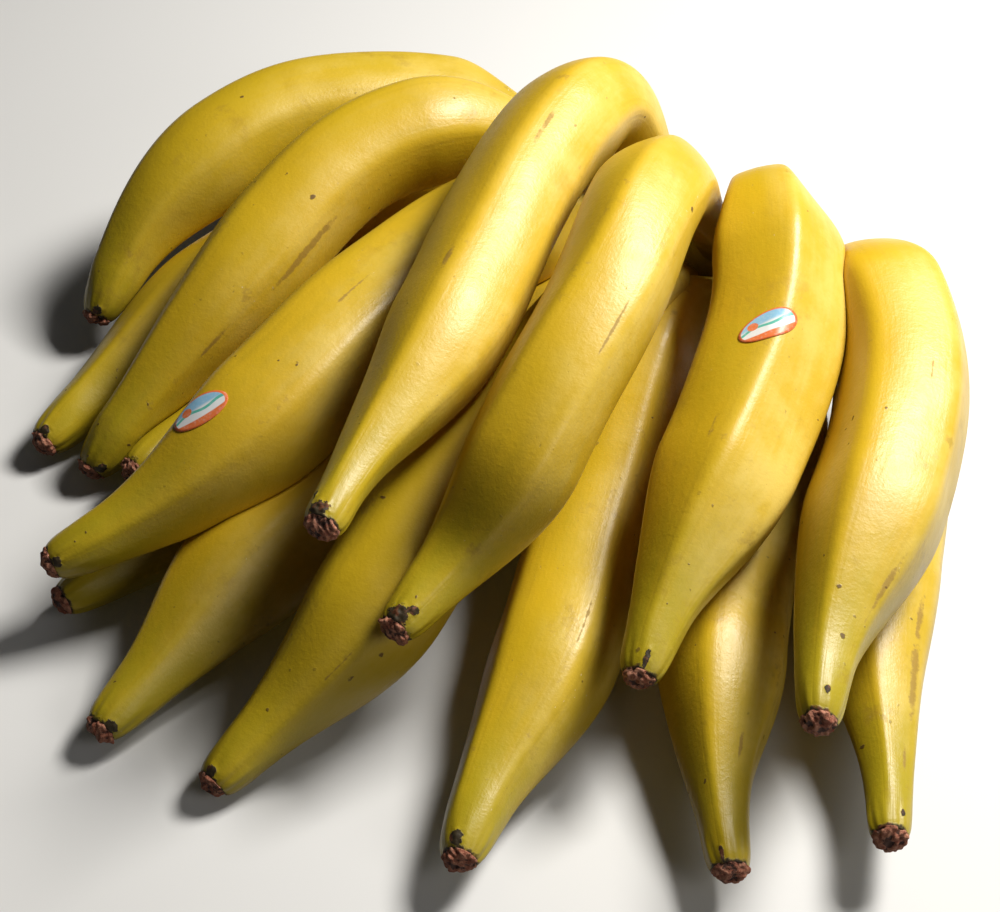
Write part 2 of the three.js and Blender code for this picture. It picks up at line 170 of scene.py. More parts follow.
class Finger:
    # one finger's spine: centre, directions and radius at any distance from its blossom end
    def __init__(self, number, shape, edge, route, start):
        self.number, self.edge = number, edge
        self.fat, self.neck, self.flare, self.shoulder = shape[:4]
        self.turn, self.twist = math.radians(shape[4]), math.radians(shape[5])
        route = np.array(route, float) - (0, 0, fingerSizes["flat"])
        points = np.vstack([start, route])
        self.line = ledCurve(points, np.linspace(0, 1, 1201))
        steps = np.linalg.norm(np.diff(self.line, axis=0), axis=1)
        self.gone = np.concatenate([[0], np.cumsum(steps)])
        self.length = self.gone[-1]
        self.heading = np.gradient(self.line, self.gone, axis=0)
        self.heading /= np.linalg.norm(self.heading, axis=1, keepdims=True)
        plane = np.cross(points[3] - points[0], points[6] - points[0])
        self.plane = plane / np.linalg.norm(plane)
        self.chance = np.random.default_rng(500 + number)
        self.lumps = self.chance.uniform(0, 2 * math.pi, 8)
        self.spine = self.station(np.linspace(0, self.length, 130))

    def station(self, fromTip):
        # the spine's point, its directions and the radius at a distance from the blossom end
        fromCrown = np.clip(self.length - fromTip, 0, self.length)
        centre = np.stack([np.interp(fromCrown, self.gone, self.line[:, k]) for k in range(3)], -1)
        along = np.stack([np.interp(fromCrown, self.gone, self.heading[:, k]) for k in range(3)], -1)
        along /= np.linalg.norm(along, axis=-1, keepdims=True)
        centre = centre - along * np.minimum(fromTip, 0)[..., None]
        side = self.plane - along * (along @ self.plane)[..., None]
        side /= np.linalg.norm(side, axis=-1, keepdims=True)
        up = np.cross(side, along)
        return centre, along, side, up, self.radius(fromTip)

    def radius(self, fromTip):
        # bottleneck, swelling belly and stalk, each joined to the next by a smooth step
        s = fingerSizes
        belly, neck = self.fat * s["girth"] / 2, self.neck * s["neck"] / 2
        swollen = smoothStep((fromTip - s["neckStraight"]) / (self.flare * s["neckFlare"]))
        body = neck + (belly - neck) * swollen
        shoulder = smoothStep((self.length - fromTip - s["stalkLength"]) / (self.shoulder * s["shoulder"]))
        full = s["stalk"] / 2 + (body - s["stalk"] / 2) * shoulder
        rim = s["scar"] / 2 + s["scarRim"]
        rounded = 1 - s["endRound"] * np.exp(-np.maximum(fromTip, 0) / s["endDepth"])
        return (rim + (full - rim) * np.sin(math.pi / 2 * np.clip(fromTip / s["tipTaper"], 0, 1))) * rounded

    def turned(self, angle, fromTip):
        # the angle counted from a ridge, which winds round the finger
        return angle - self.turn - self.twist * (fromTip / self.length - 0.5)

    def crest(self, angle, fromTip):
        # 1 on a ridge and 0 in the middle of a face
        low, high = pentagon(math.pi / 5), pentagon(0)
        return (pentagon(self.turned(angle, fromTip)) - low) / (high - low)

    def section(self, angle, fromTip):
        # a pentagon with soft corners, a slight oval, slow lumps and, at the blossom end, puckered folds
        s, k = fingerSizes, self.lumps
        turned = self.turned(angle, fromTip)
        amount = s["ridge"] * (1 + (self.edge - 1) * smoothStep((fromTip - 30) / 60))
        amount = amount * (0.3 + 0.7 * smoothStep((fromTip - 2) / 36))
        ridges = amount * (self.crest(angle, fromTip) - 0.35)
        oval = 0.15 * s["ridge"] * np.cos(2 * turned + 1)
        slow = 0.010 * np.sin(fromTip / 23 + 2 * angle + k[0])
        slow = slow + 0.007 * np.sin(fromTip / 14 - angle + k[1])
        slow = slow + 0.005 * np.sin(fromTip / 9 + 3 * angle + k[2])
        atTip = 1 - smoothStep((fromTip - 2) / 16)
        folds = np.sin(7 * turned + 1.5 * np.sin(2 * angle + k[3]))
        folds = folds + 0.6 * np.sin(13 * angle + k[4] + fromTip / 9)
        uneven = np.sin(2 * angle + k[5]) + 0.6 * np.sin(3 * angle + k[6])
        return 1 + ridges + oval + slow + 0.020 * atTip * folds + 0.030 * atTip * uneven

    def skin(self, fromTip, angle, lift=0.0):
        # points on the unpressed skin, and the spine's points that they belong to
        centre, along, side, up, radius = self.station(fromTip)
        out = (radius * self.section(angle, fromTip) + lift)[..., None]
        return centre + out * (np.cos(angle)[..., None] * side + np.sin(angle)[..., None] * up), centre

    def outside(self, points):
        # how far each point lies outside this finger's unpressed skin
        centre, along, side, up, radius = self.spine
        gaps = (points**2).sum(-1)[:, None] - 2 * points @ centre.T + (centre**2).sum(-1)
        nearest = gaps.argmin(1)
        away = points - centre[nearest]
        past = (away * along[nearest]).sum(-1)
        away = away - past[:, None] * along[nearest]
        angle = np.arctan2((away * up[nearest]).sum(-1), (away * side[nearest]).sum(-1))
        step = self.length / (len(centre) - 1)
        fromTip = np.clip(nearest * step - past, 0, self.length)
        beyond = np.maximum(0, np.abs(past) - step)
        reach = np.hypot(np.linalg.norm(away, axis=-1), beyond)
        return reach - self.radius(fromTip) * self.section(angle, fromTip)


def makeFingers():
    # the stalks are spread along the crown's curve, the upper row half a row's height above its level
    made = []
    for row, (shapes, side) in enumerate([(upperRow, 1), (lowerRow, -1)]):
        for k, (shape, edge, route) in enumerate(shapes):
            plan = crownPlace((k + 0.4) / (len(shapes) - 0.1))[0]
            start = np.append(plan, crownSizes["level"] + side * crownSizes["rowApart"] / 2)
            made.append(Finger(row * len(upperRow) + k + 1, shape, edge, route, start))
    return made


fingers = makeFingers()


def pressed(finger, points, centres):
    # where two fingers press on each other, both give way by half, and the surface stops them
    gap, softness = fingerSizes["contactGap"], fingerSizes["contactSoftness"]
    farApart = 60
    push = np.zeros(len(points))
    for other in fingers:
        if other is finger:
            continue
        reach = np.linalg.norm(finger.spine[0][::4, None] - other.spine[0][None, ::4], axis=-1).min()
        if reach > farApart:
            continue
        near = (gap - other.outside(points)) / 2
        push = np.maximum(push, (near + np.sqrt(near**2 + softness**2)) / 2)
    out = points - centres
    length = np.maximum(np.linalg.norm(out, axis=-1), 1e-6)
    kept = centres + out * np.maximum(0.15, (length - push) / length)[:, None]
    sunk = kept[:, 2]
    kept[:, 2] = (sunk + np.sqrt(sunk**2 + fingerSizes["floorSoftness"] ** 2)) / 2
    return kept


# The solid model stands over the origin, so these shapes, drawn in the crown's own plan, move as it did.
roughLow, roughHigh = np.full(3, 1e9), np.full(3, -1e9)
for finger in fingers:
    along, around = np.meshgrid(
        np.linspace(0, finger.length, 160), np.linspace(0, 2 * math.pi, 60), indexing="ij")
    points = finger.skin(along, around)[0].reshape(-1, 3)
    roughLow, roughHigh = np.minimum(roughLow, points.min(0)), np.maximum(roughHigh, points.max(0))
cadMiddle = (np.array(cadLow) + np.array(cadHigh)) / 2
shift = np.append(cadMiddle[:2] / mm - (roughLow + roughHigh)[:2] / 2, 0)


def makePiece(name, grid, node, material, attributes, startPole=None):
    # a closed skin over a grid: rows run along the piece, columns run round it and join up
    rows, sides = grid.shape[:2]
    flat = grid.reshape(-1, 3)
    a = np.arange(rows - 1)[:, None] * sides + np.arange(sides)
    b = np.arange(rows - 1)[:, None] * sides + (np.arange(sides) + 1) % sides
    quads = np.stack([a, b, b + sides, a + sides], -1).reshape(-1, 4)
    first, last = np.arange(sides), (rows - 1) * sides + np.arange(sides)
    startPole = grid[0].mean(0) if startPole is None else startPole
    poles = len(flat)
    vertices = np.vstack([flat, startPole, grid[-1].mean(0)])
    startFan = np.stack([np.full(sides, poles), np.roll(first, -1), first], -1)
    endFan = np.stack([np.full(sides, poles + 1), last, np.roll(last, -1)], -1)
    faces = quads.tolist() + startFan.tolist() + endFan.tolist()
    mesh = bpy.data.meshes.new(name)
    mesh.from_pydata(((vertices + shift) * mm).tolist(), [], faces)
    for key, values in attributes.items():
        layer = mesh.attributes.new(key, "FLOAT", "POINT")
        values = values.reshape(-1)
        full = np.append(values, [values[:sides].mean(), values[-sides:].mean()])
        layer.data.foreach_set("value", full.astype(np.float32))
    mesh.shade_smooth()
    piece = bpy.data.objects.new(name, mesh)
    bpy.context.collection.objects.link(piece)
    mesh.materials.append(material)
    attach(piece, "root")
    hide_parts(node)


def waves(x, y, z, seed, count, low=0.5, high=2.0):
    # a sum of sines in random directions, a cheap smooth noise between about -1 and 1
    chance = np.random.default_rng(seed)
    total = np.zeros(np.shape(x))
    for _ in range(count):
        heading = chance.normal(size=3)
        heading *= chance.uniform(low, high) / np.linalg.norm(heading)
        total += np.sin(x * heading[0] + y * heading[1] + z * heading[2] + chance.uniform(0, 2 * math.pi))
    return total / math.sqrt(count)


class Wire:
    # a socket that can be used in sums: each operator adds a Math node
    def __init__(self, board, socket):
        self.board, self.socket = board, socket

    def sum(self, operation, a, b):
        return self.board.node("ShaderNodeMath", {"operation": operation}, {0: a, 1: b})

    def __add__(self, other):
        return self.sum("ADD", self, other)

    __radd__ = __add__

    def __sub__(self, other):
        return self.sum("SUBTRACT", self, other)

    def __rsub__(self, other):
        return self.sum("SUBTRACT", other, self)

    def __mul__(self, other):
        return self.sum("MULTIPLY", self, other)

    __rmul__ = __mul__

    def larger(self, other):
        return self.sum("MAXIMUM", self, other)

    def output(self, name):
        # another output of the same node
        return Wire(self.board, self.socket.node.outputs[name])


class Board:
    # one material's nodes
    def __init__(self, name):
        self.material = bpy.data.materials.new(name)
        self.material.use_nodes = True
        self.tree = self.material.node_tree
        self.tree.nodes.clear()
        self.place = self.node("ShaderNodeTexCoord", output="Object")

    def node(self, kind, settings=None, inputs=None, output=0):
        # any node: its type, its settings first, then what goes in, as wires or fixed values
        made = self.tree.nodes.new(kind)
        for key, value in (settings or {}).items():
            setattr(made, key, value)
        for key, value in (inputs or {}).items():
            if isinstance(value, Wire):
                self.tree.links.new(value.socket, made.inputs[key])
            elif isinstance(value, tuple) and made.inputs[key].type == "RGBA":
                made.inputs[key].default_value = (*value, 1)
            else:
                made.inputs[key].default_value = value
        return Wire(self, made.outputs[output]) if made.outputs else made

    def value(self, name):
        return self.node("ShaderNodeAttribute", {"attribute_name": name}, output="Fac")

    def noise(self, scale, detail=3.0, roughness=0.55, place=None, distortion=0.0):
        return self.node("ShaderNodeTexNoise", {}, {
            "Vector": place or self.place, "Scale": scale, "Detail": detail,
            "Roughness": roughness, "Distortion": distortion}, output="Fac")

    def step(self, value, low, high):
        # a smooth step from 0 at low to 1 at high
        return self.node("ShaderNodeMapRange", {"interpolation_type": "SMOOTHSTEP"}, {
            "Value": value, "From Min": low, "From Max": high, "To Min": 0.0, "To Max": 1.0})

    def spot(self, x, y, z):
        # three values as one place
        return self.node("ShaderNodeCombineXYZ", {}, {"X": x, "Y": y, "Z": z})

    def mix(self, share, first, second):
        return self.node("ShaderNodeMix", {"data_type": "RGBA"}, {0: share, 6: first, 7: second}, 2)

    def dots(self, scale, size, chance, place=None):
        # round dots of a Voronoi pattern, of which only a share of the cells has one
        cells = self.node("ShaderNodeTexVoronoi", {}, {"Vector": place or self.place, "Scale": scale})
        split = self.node("ShaderNodeSeparateColor", {}, {0: cells.output("Color")})
        here = self.step(split, 1 - chance, 1 - chance + 0.02)
        return (1 - self.step(cells.output("Distance"), size * 0.6, size)) * here

    def bump(self, height, distance, strength):
        return self.node("ShaderNodeBump", {}, {
            "Height": height, "Distance": distance, "Strength": strength}, output="Normal")

    def finish(self, colour, roughness, normal, **fixed):
        inputs = {"Base Color": colour, "Roughness": roughness, "Normal": normal}
        inputs.update({key.replace("_", " "): value for key, value in fixed.items()})
        shader = self.node("ShaderNodeBsdfPrincipled", {}, inputs, output="BSDF")
        self.node("ShaderNodeOutputMaterial", {}, {"Surface": shader})
        return self.material


skinLook = {
    "ripe": (0.60, 0.405, 0.012),
    "golden": (0.66, 0.42, 0.015),
    "green": (0.42, 0.33, 0.011),
    # the colour of the painted sheen on skin that faces the light
    "paintedSheen": (0.86, 0.66, 0.18),
    # a darker tone, for the mottling and for the painted shade beside the ridges
    "shade": (0.40, 0.27, 0.012),
    "freckle": (0.085, 0.034, 0.012),
    "bruise": (0.30, 0.17, 0.030),
    # the colour of painted glints: pale specks standing in for tiny highlights
    "paintedGlint": (0.92, 0.84, 0.55),
    "crust": (0.016, 0.008, 0.005),
    "rust": (0.16, 0.045, 0.022),
    "stalkBrown": (0.10, 0.06, 0.02),
    "roughness": 0.38,
    "ior": 1.45,
    "oliveAtTip": 0.66,
    "oliveAtStalk": 0.5,
    "olivePatches": 0.35,
    "freckles": (240.0, 0.17, 0.12),  # cells to a metre, size in its cell, share of the cells that have one
    "bigFreckles": (88.0, 0.105, 0.07),
    "glintSpeckDots": (430.0, 0.15, 0.10),
    "straying": 0.0032,  # how far noise bends the outlines of freckles and specks
    "shadeShare": 0.30,
    "grooveShadeShare": 0.12,
    "smudgeShare": 0.35,
    "bruiseShare": 0.8,
    "freckleShare": 0.85,
    "paintedGlintShare": 0.7,
    "stalkShare": 0.85,
    "crustShare": 0.96,
    "crustRise": (0.30, 0.25),
    "bumpHeight": 0.00036,
    "bumpStrength": 0.50,
    "roundScale": 12.0,
    # the direction of the light: skin facing it gets the painted sheen
    "sun": (0.80, 0.0, 0.60),
    "front": (0.0, -0.7, 0.7),
}

# Dried crusts near the blossom ends: finger, from its end, round from its front in degrees, length, width.
crusts = [
    (4, 1.8, -34, 3.4, 3.6), (4, 8.6, -64, 2.2, 1.1), (5, 1.8, -26, 4.2, 4.4), (5, 6.6, 4, 1.8, 2.0),
    (6, 4.0, -4, 3.8, 1.1), (7, 7.6, 0, 1.7, 0.9), (13, 3.2, -30, 3.2, 2.6), (14, 2.8, -22, 3.4, 0.8),
    (3, 2.0, 10, 1.8, 2.4), (11, 1.6, 20, 1.6, 3.0), (12, 2.0, -30, 2.4, 2.2), (15, 5.8, 24, 1.6, 0.8),
    (8, 2.0, -20, 2.0, 2.2), (1, 2.0, 0, 2.0, 2.4), (2, 2.4, 30, 2.4, 2.0),
]

# Brown rubs along the fingers: finger, from its end, round from its front in degrees, length, width.
rubs = [
    (2, 118, 42, 34, 2.6), (2, 70, 30, 12, 1.4), (4, 196, -8, 16, 1.2), (4, 120, -30, 9, 2.0),
    (5, 128, 20, 22, 0.9), (6, 92, -34, 13, 1.1), (7, 54, 30, 20, 1.6), (7, 150, 10, 12, 0.8),
    (15, 66, 46, 26, 2.8), (15, 30, 30, 7, 1.4), (13, 96, 12, 17, 0.9), (14, 44, 26, 10, 1.2),
    (3, 150, -20, 14, 1.0), (12, 60, 10, 12, 0.8), (15, 90, 40, 18, 2.0),
]


def makeSkin():
    # ripe yellow, olive at both ends, a painted sheen paler on the side facing the light, then each mark
    # laid over what is below it
    board = Board("bananaSkin")
    look = skinLook
    fromTip, fromCrown = board.value("fromTip"), board.value("fromCrown")
    crest, tone, facingLight = board.value("crest"), board.value("tone"), board.value("facingLight")
    aroundX, aroundY = board.value("aroundX"), board.value("aroundY")
    around = board.spot(aroundX, aroundY, fromTip * 0.05)
    blotches = board.noise(26.0, 4.0, 0.6)
    clouds = board.noise(9.0, 2.0)
    streaks = board.noise(0.33, 4.0, 0.6, around)
    grainy = board.noise(260.0, 3.0, 0.6)

    colour = board.mix(board.step(blotches * 0.6 + tone * 0.4, 0.32, 0.72), look["ripe"], look["golden"])
    nearTip = 1 - board.step(fromTip + clouds * 40, 26, 110)
    nearStalk = 1 - board.step(fromCrown + clouds * 20, 18, 60)
    valley = 1 - board.step(crest, 0.0, 0.55)
    patches = board.step(clouds + tone * 0.25, 0.5, 0.85)
    greenness = nearTip * look["oliveAtTip"] + nearStalk * look["oliveAtStalk"]
    greenness = greenness + patches * look["olivePatches"]
    greenness = greenness + valley * 0.10 + (streaks - 0.5) * 0.25 + (grainy - 0.5) * 0.3
    colour = board.mix(board.step(greenness, 0.15, 1.1), colour, look["green"])
    mottled = board.step(blotches + (streaks - 0.5) * 0.6, 0.52, 0.80)
    colour = board.mix(mottled * look["shadeShare"], colour, look["shade"])
    # painted sheen: skin that faces the light is made paler, in a noisy pattern and less near the blossom
    # end
    paintedSheenMask = board.step(board.noise(34.0, 5.0, 0.65) * 0.7 + streaks * 0.3, 0.40, 0.64)
    paintedSheenMask = board.step(facingLight, 0.30, 0.98) * (paintedSheenMask * 0.46 + 0.14) * (1 - nearTip * 0.8)
    colour = board.mix(paintedSheenMask, colour, look["paintedSheen"])
    # painted shade: a darker band in the grooves beside each ridge, broken up by noise
    beside = board.step(crest, 0.50, 0.60) * (1 - board.step(crest, 0.66, 0.78))
    grooveShade = beside * board.step(board.noise(11.0, 2.0), 0.48, 0.62)
    colour = board.mix(grooveShade * look["grooveShadeShare"], colour, look["shade"])

    wander = board.noise(330.0, 3.0, 0.5).output("Color")
    strayed = board.node("ShaderNodeVectorMath", {"operation": "MULTIPLY_ADD"}, {
        0: wander, 1: (look["straying"],) * 3, 2: board.place})
    patchy = board.step(board.noise(14.0, 2.0), 0.46, 0.66)
    freckles = board.dots(*look["freckles"], strayed) * patchy.larger(nearTip)
    # painted glints: pale specks in patches stand in for tiny highlights, and are also made less rough
    glintSpecks = board.dots(*look["glintSpeckDots"], strayed) * board.step(board.noise(19.0, 3.0), 0.56, 0.66)
    bigFreckles = board.dots(*look["bigFreckles"], strayed)
    spots = freckles.larger(bigFreckles)
    longWay = board.spot(aroundX, aroundY, fromTip * 0.16)
    scratchField = board.noise(2.4, 4.0, 0.55, longWay, 0.5)
    scratches = board.step(scratchField, 0.700, 0.735) * board.step(board.noise(17.0, 2.0), 0.50, 0.60)
    worn = board.noise(330.0, 5.0, 0.75) * 0.6 + board.noise(70.0, 4.0, 0.6) * 0.4
    rubbed = board.step(board.value("rub") * 0.55 + worn, 0.80, 0.98)
    ridgeWear = board.step(crest, 0.66, 0.88) * board.step(board.noise(60.0, 5.0, 0.7), 0.60, 0.68)
    bruises = (scratches * 0.7).larger(rubbed * 0.9).larger(ridgeWear * 0.5)
    smudges = board.step(board.noise(48.0, 6.0, 0.7), 0.56, 0.70) * board.step(clouds, 0.42, 0.60)
    colour = board.mix(smudges * look["smudgeShare"], colour, look["bruise"])
    colour = board.mix(bruises * look["bruiseShare"], colour, look["bruise"])
    colour = board.mix(spots * look["freckleShare"], colour, look["freckle"])
    # painted glints laid on, fewer near the blossom end
    colour = board.mix(glintSpecks * (1 - nearTip * 0.5) * look["paintedGlintShare"], colour, look["paintedGlint"])
    atTip = 1 - board.step(fromTip + (board.noise(300.0, 4.0) - 0.5) * 5, 0.0, 1.3)
    atStalk = 1 - board.step(fromCrown + (board.noise(60.0, 3.0) - 0.5) * 30, 3, 22)
    colour = board.mix(atStalk * look["stalkShare"], colour, look["stalkBrown"])
    dried = board.step(board.value("crust") + (board.noise(420.0, 4.0, 0.65) - 0.5) * 1.3, 0.36, 0.48)
    dried = dried.larger(atTip)
    crust = board.mix(board.step(grainy, 0.52, 0.66), look["crust"], look["rust"])
    colour = board.mix(dried * look["crustShare"], colour, crust)

    roughness = look["roughness"] + (board.noise(70.0, 4.0) - 0.5) * 0.22
    roughness = roughness + spots * 0.25 + bruises * 0.25 + atStalk * 0.3 + dried * 0.3 - glintSpecks * 0.2
    fine = board.noise(760.0, 3.0, 0.65) * 0.55 + board.noise(1.3, 4.0, 0.65, around) * 0.35
    fine = fine + spots * 0.6 - scratches * 0.8 + board.noise(90.0, 3.0) * 0.9 + grainy * 0.5
    fine = fine - beside * 0.12 + dried * (board.noise(500.0, 3.0) + 0.4) * 1.6
    normal = board.bump(fine, look["bumpHeight"], look["bumpStrength"])
    return board.finish(colour, roughness, normal, IOR=look["ior"])


skin = makeSkin()


def patches(finger, places, along, around):
    # each patch falls off as a bell curve of the distance along the finger and round it
    total = np.zeros(along.shape)
    for number, fromTip, degrees, length, width in places:
        if number != finger.number:
            continue
        side, up, radius = (v[0] for v in finger.station(np.array([float(fromTip)]))[2:])
        front = np.array(skinLook["front"])
        middle = math.atan2(front @ up, front @ side) + math.radians(degrees)
        lengthwise = (along - fromTip) / length
        sideways = (np.mod(around - middle + math.pi, 2 * math.pi) - math.pi) * radius / width
        total = np.maximum(total, np.exp(-(lengthwise**2) - sideways**2))
    return total


def makeFingerPiece(finger):
    # rows crowd towards the rounded end, which turns inwards and down into a shallow cup for the scar
    s = fingerSizes
    cupTip, cupRadius = np.array(s["cup"]).T
    tapered = s["tipTaper"] * np.linspace(0, 1, s["tipRows"]) ** 1.3
    body = np.linspace(s["tipTaper"], finger.length, s["rows"])[1:]
    fromTip = np.concatenate([tapered, body])
    angles = np.linspace(0, 2 * math.pi, s["sides"], endpoint=False)
    along, around = np.meshgrid(fromTip, angles, indexing="ij")
    points, centres = finger.skin(along, around)
    kept = pressed(finger, points.reshape(-1, 3), centres.reshape(-1, 3)).reshape(points.shape)
    crust, rub = patches(finger, crusts, along, around), patches(finger, rubs, along, around)
    outward = points - centres
    outward = outward / np.maximum(np.linalg.norm(outward, axis=-1, keepdims=True), 1e-6)
    crumbs = waves(*(points[..., k] for k in range(3)), 300 + finger.number, 20, 1.2, 3.4)
    rise, unevenness = skinLook["crustRise"]
    kept = kept + outward * (np.minimum(crust, 1) * (rise + unevenness * crumbs))[..., None]

    rim = finger.skin(np.zeros(s["sides"]), angles)[0]
    tipCentre, tipAlong = (v[0] for v in finger.station(np.zeros(1))[:2])
    reach = np.linalg.norm(rim - tipCentre, axis=-1)
    cupRows = tipCentre - cupTip[:, None, None] * tipAlong
    wobble = 1 + 0.05 * waves(np.cos(angles) * 3, np.sin(angles) * 3, 0 * angles, 90 + finger.number, 8)
    cupRows = cupRows + (rim - tipCentre)[None] / reach[None, :, None] * (
        cupRadius[:, None] * (reach / reach.mean() * wobble)[None])[..., None]
    grid = np.vstack([cupRows, kept])

    along = np.vstack([np.zeros((len(cupTip), s["sides"])), along])
    around = np.vstack([np.repeat(angles[None], len(cupTip), 0), around])
    spare = [(len(cupTip), 0), (0, 0)]
    # how far the skin faces the light, the mask of the painted sheen
    facingLight = np.pad(outward @ np.array(skinLook["sun"]), spare, mode="edge")
    attributes = {
        "fromTip": along,
        "fromCrown": finger.length - along,
        "crest": finger.crest(around, along),
        "aroundX": np.cos(around) * skinLook["roundScale"] + finger.number * 31,  # no two alike
        "aroundY": np.sin(around) * skinLook["roundScale"],
        "tone": np.full(along.shape, finger.chance.uniform(0, 1)),
        "facingLight": facingLight,
        "crust": np.pad(crust, spare, mode="edge"),
        "rub": np.pad(rub, spare, mode="edge"),
    }
    name = f"banana_{finger.number:02d}"
    makePiece(f"finger_{finger.number:02d}", grid, name, skin, attributes)
    low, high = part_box(name)
    found = (grid.reshape(-1, 3) + shift) * mm
    off = max(np.abs(found.min(0) - np.array(low)).max(), np.abs(found.max(0) - np.array(high)).max()) / mm
    print(f"{name}: length {finger.length:.0f} mm, box within {off:.1f} mm of the solid")


for finger in fingers:
    makeFingerPiece(finger)
print("fingers made")

scarLook = {
    "cork": (0.29, 0.085, 0.042),
    "pale": (0.60, 0.27, 0.165),
    "dark": (0.030, 0.012, 0.008),
    "rows": 60,
    "sides": 96,
    "rise": 3.6,
    "sunk": 1.5,
    "profile": [  # share of the way over the knob, how wide, how high
        (0, 0.62, -1), (0.10, 0.84, -0.55), (0.22, 0.98, -0.10), (0.34, 0.93, 0.25),
        (0.5, 0.76, 0.58), (0.7, 0.48, 0.86), (0.86, 0.25, 0.97), (1, 0.02, 1),
    ],
}


def makeCork():
    # mottled cork, pale on the lumps and near black in the pits
    board = Board("corkyScar")
    look = scarLook
    grain = board.noise(900.0, 4.0, 0.7)
    patches = board.noise(380.0, 4.0, 0.62)
    colour = board.mix(board.step(patches * 0.6 + grain * 0.4, 0.42, 0.60), look["cork"], look["pale"])
    hollow = board.value("hollow")
    pits = board.step(board.noise(520.0, 4.0, 0.65) * 0.8 + hollow * 0.36 + (grain - 0.5) * 0.5, 0.44, 0.60)
    colour = board.mix(pits * 0.92, colour, look["dark"])
    normal = board.bump(grain * 0.8 + patches - pits * 0.6, 0.0009, 0.9)
    return board.finish(colour, 0.74 + (grain - 0.5) * 0.3, normal)


cork = makeCork()


def makeScar(finger):
    # a knob: it swells over the end of the skin, then rises as a blunt cone with lumps and a dark pit
    look = scarLook
    number = finger.number
    tipCentre, tipAlong, tipSide, tipUp = (v[0] for v in finger.station(np.zeros(1))[:4])
    way = np.linspace(0, 1, look["rows"])
    angles = np.linspace(0, 2 * math.pi, look["sides"], endpoint=False)
    wide, high = (np.interp(way, *np.array(look["profile"])[:, [0, k]].T) for k in (1, 2))
    share, around = np.meshgrid(wide, angles, indexing="ij")
    high = np.where(high < 0, high * look["sunk"], high * look["rise"])[:, None] + 0 * around
    x, y = share * np.cos(around), share * np.sin(around)
    chance = np.random.default_rng(70 + number)
    lean = chance.uniform(-0.22, 0.22, 2)
    pit = chance.uniform(-0.25, 0.25, 2)
    lumps = waves(x * 6, y * 6, high, 20 + number, 18, 0.6, 1.7)
    small = waves(x * 15, y * 15, high * 2, 40 + number, 26, 0.6, 1.6)
    hole = np.exp(-((x - pit[0]) ** 2 + (y - pit[1]) ** 2) / 0.045) * (high > 0)
    loose = smoothStep((way - 0.08) / 0.2)[:, None]
    height = high * (1 + lean[0] * x + lean[1] * y) - hole
    height = height + (0.50 * lumps + 0.34 * small) * loose * (1 - 0.5 * share)
    radius = fingerSizes["scar"] / 2 * 0.97 * share * (1 + (0.060 * lumps + 0.050 * small) * loose)
    grid = (tipCentre + height[..., None] * tipAlong
            - (radius * np.cos(around))[..., None] * tipSide + (radius * np.sin(around))[..., None] * tipUp)
    base = tipCentre - look["sunk"] * 1.2 * tipAlong
    edge = smoothStep((0.3 - way) / 0.2)[:, None]
    attributes = {"hollow": hole - 0.30 * lumps - 0.25 * small + 0.5 * edge}
    makePiece(f"blossomEnd_{number:02d}", grid, f"banana_{number:02d}_tip", cork,
              attributes, startPole=base)


for finger in fingers:
    makeScar(finger)
print("blossom ends made")

crownLook = {
    "bark": (0.085, 0.055, 0.025),
    "fresh": (0.34, 0.27, 0.07),
    "cut": (0.20, 0.12, 0.06),
    "dark": (0.018, 0.012, 0.008),
    "collar": 2.6,
}


def makeWood():
    # dark bark, fresh green-yellow beside the stalks, and a fibrous brown face where it was cut
    board = Board("crownWood")
    look = crownLook
    grain = board.noise(260.0, 5.0, 0.65)
    coarse = board.noise(55.0, 4.0, 0.6)
    fibres = board.dots(420.0, 0.34, 0.75)
    cut, stalkSide = board.value("cut"), board.value("stalkSide")
    colour = board.mix(board.step(coarse + (grain - 0.5) * 0.5, 0.35, 0.68), look["bark"], look["dark"])
    living = board.step(stalkSide + (coarse - 0.5) * 0.8, 0.25, 0.95)
    colour = board.mix(living * 0.8, colour, look["fresh"])
    face = board.mix(fibres, look["cut"], look["dark"])
    face = board.mix(board.step(coarse, 0.5, 0.7), face, look["dark"])
    colour = board.mix(board.step(cut, 0.35, 0.65), colour, face)
    normal = board.bump(grain + coarse + fibres * cut * 0.8, 0.0012, 0.9)
    return board.finish(colour, 0.82 + (grain - 0.5) * 0.25, normal)


